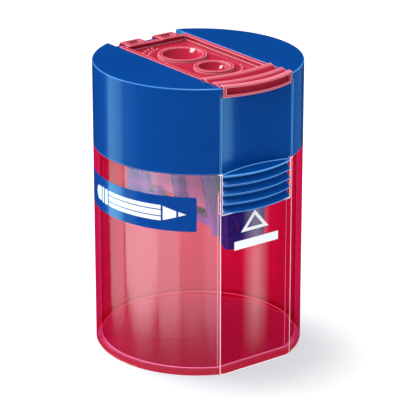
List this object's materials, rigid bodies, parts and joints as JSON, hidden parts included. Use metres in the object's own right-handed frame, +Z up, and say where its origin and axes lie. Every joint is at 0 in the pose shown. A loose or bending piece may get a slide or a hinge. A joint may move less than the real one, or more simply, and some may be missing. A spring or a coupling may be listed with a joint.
{
  "type": "tub pencil sharpener",
  "caption": "Tub pencil sharpener with a standard and a jumbo port, hinged lid, press tongue, transparent shavings tub and a metal sharpener block in a cage.",
  "frame": {"origin": "centre of the base, on the surface it stands on", "axes": "+Z up, the flat press face and the lid's lip towards -Y, the lid's hinge towards +Y"},
  "size_m": [0.045, 0.045, 0.0644],
  "materials": {
    "tub_plastic": "transparent red, polished",
    "head_plastic": "opaque blue, satin gloss",
    "lid_plastic": "translucent red, gloss",
    "holder_plastic": "blue, satin",
    "block_metal": "die-cast light metal, satin",
    "blade_steel": "ground steel",
    "screw_steel": "plated steel"
  },
  "bodies": {
    "tub": {"tub": "tub_plastic"},
    "head": {"head_shell": "head_plastic", "sharpener_holder": "holder_plastic", "sharpener_block": "block_metal", "blade_jumbo": "blade_steel", "blade_standard": "blade_steel", "screw_jumbo": "screw_steel", "screw_standard": "screw_steel"},
    "lid": {"lid": "lid_plastic"},
    "tongue": {"press_tongue": "head_plastic"}
  },
  "joints": [
    {"name": "head_lift", "type": "slide", "parent": "tub", "child": "head", "axis": [0, 0, 1], "range_m": [0, 0.045]},
    {"name": "lid_hinge", "type": "hinge", "parent": "head", "child": "lid", "pos_m": [0, 0.0178, 0.0622], "axis": [-1, 0, 0], "range_deg": [0, 110]},
    {"name": "tongue_press", "type": "hinge", "parent": "head", "child": "tongue", "pos_m": [0, -0.0185, 0.0612], "axis": [1, 0, 0], "range_deg": [0, 2.5], "stiffness_Nm_per_rad": 0.5}
  ]
}
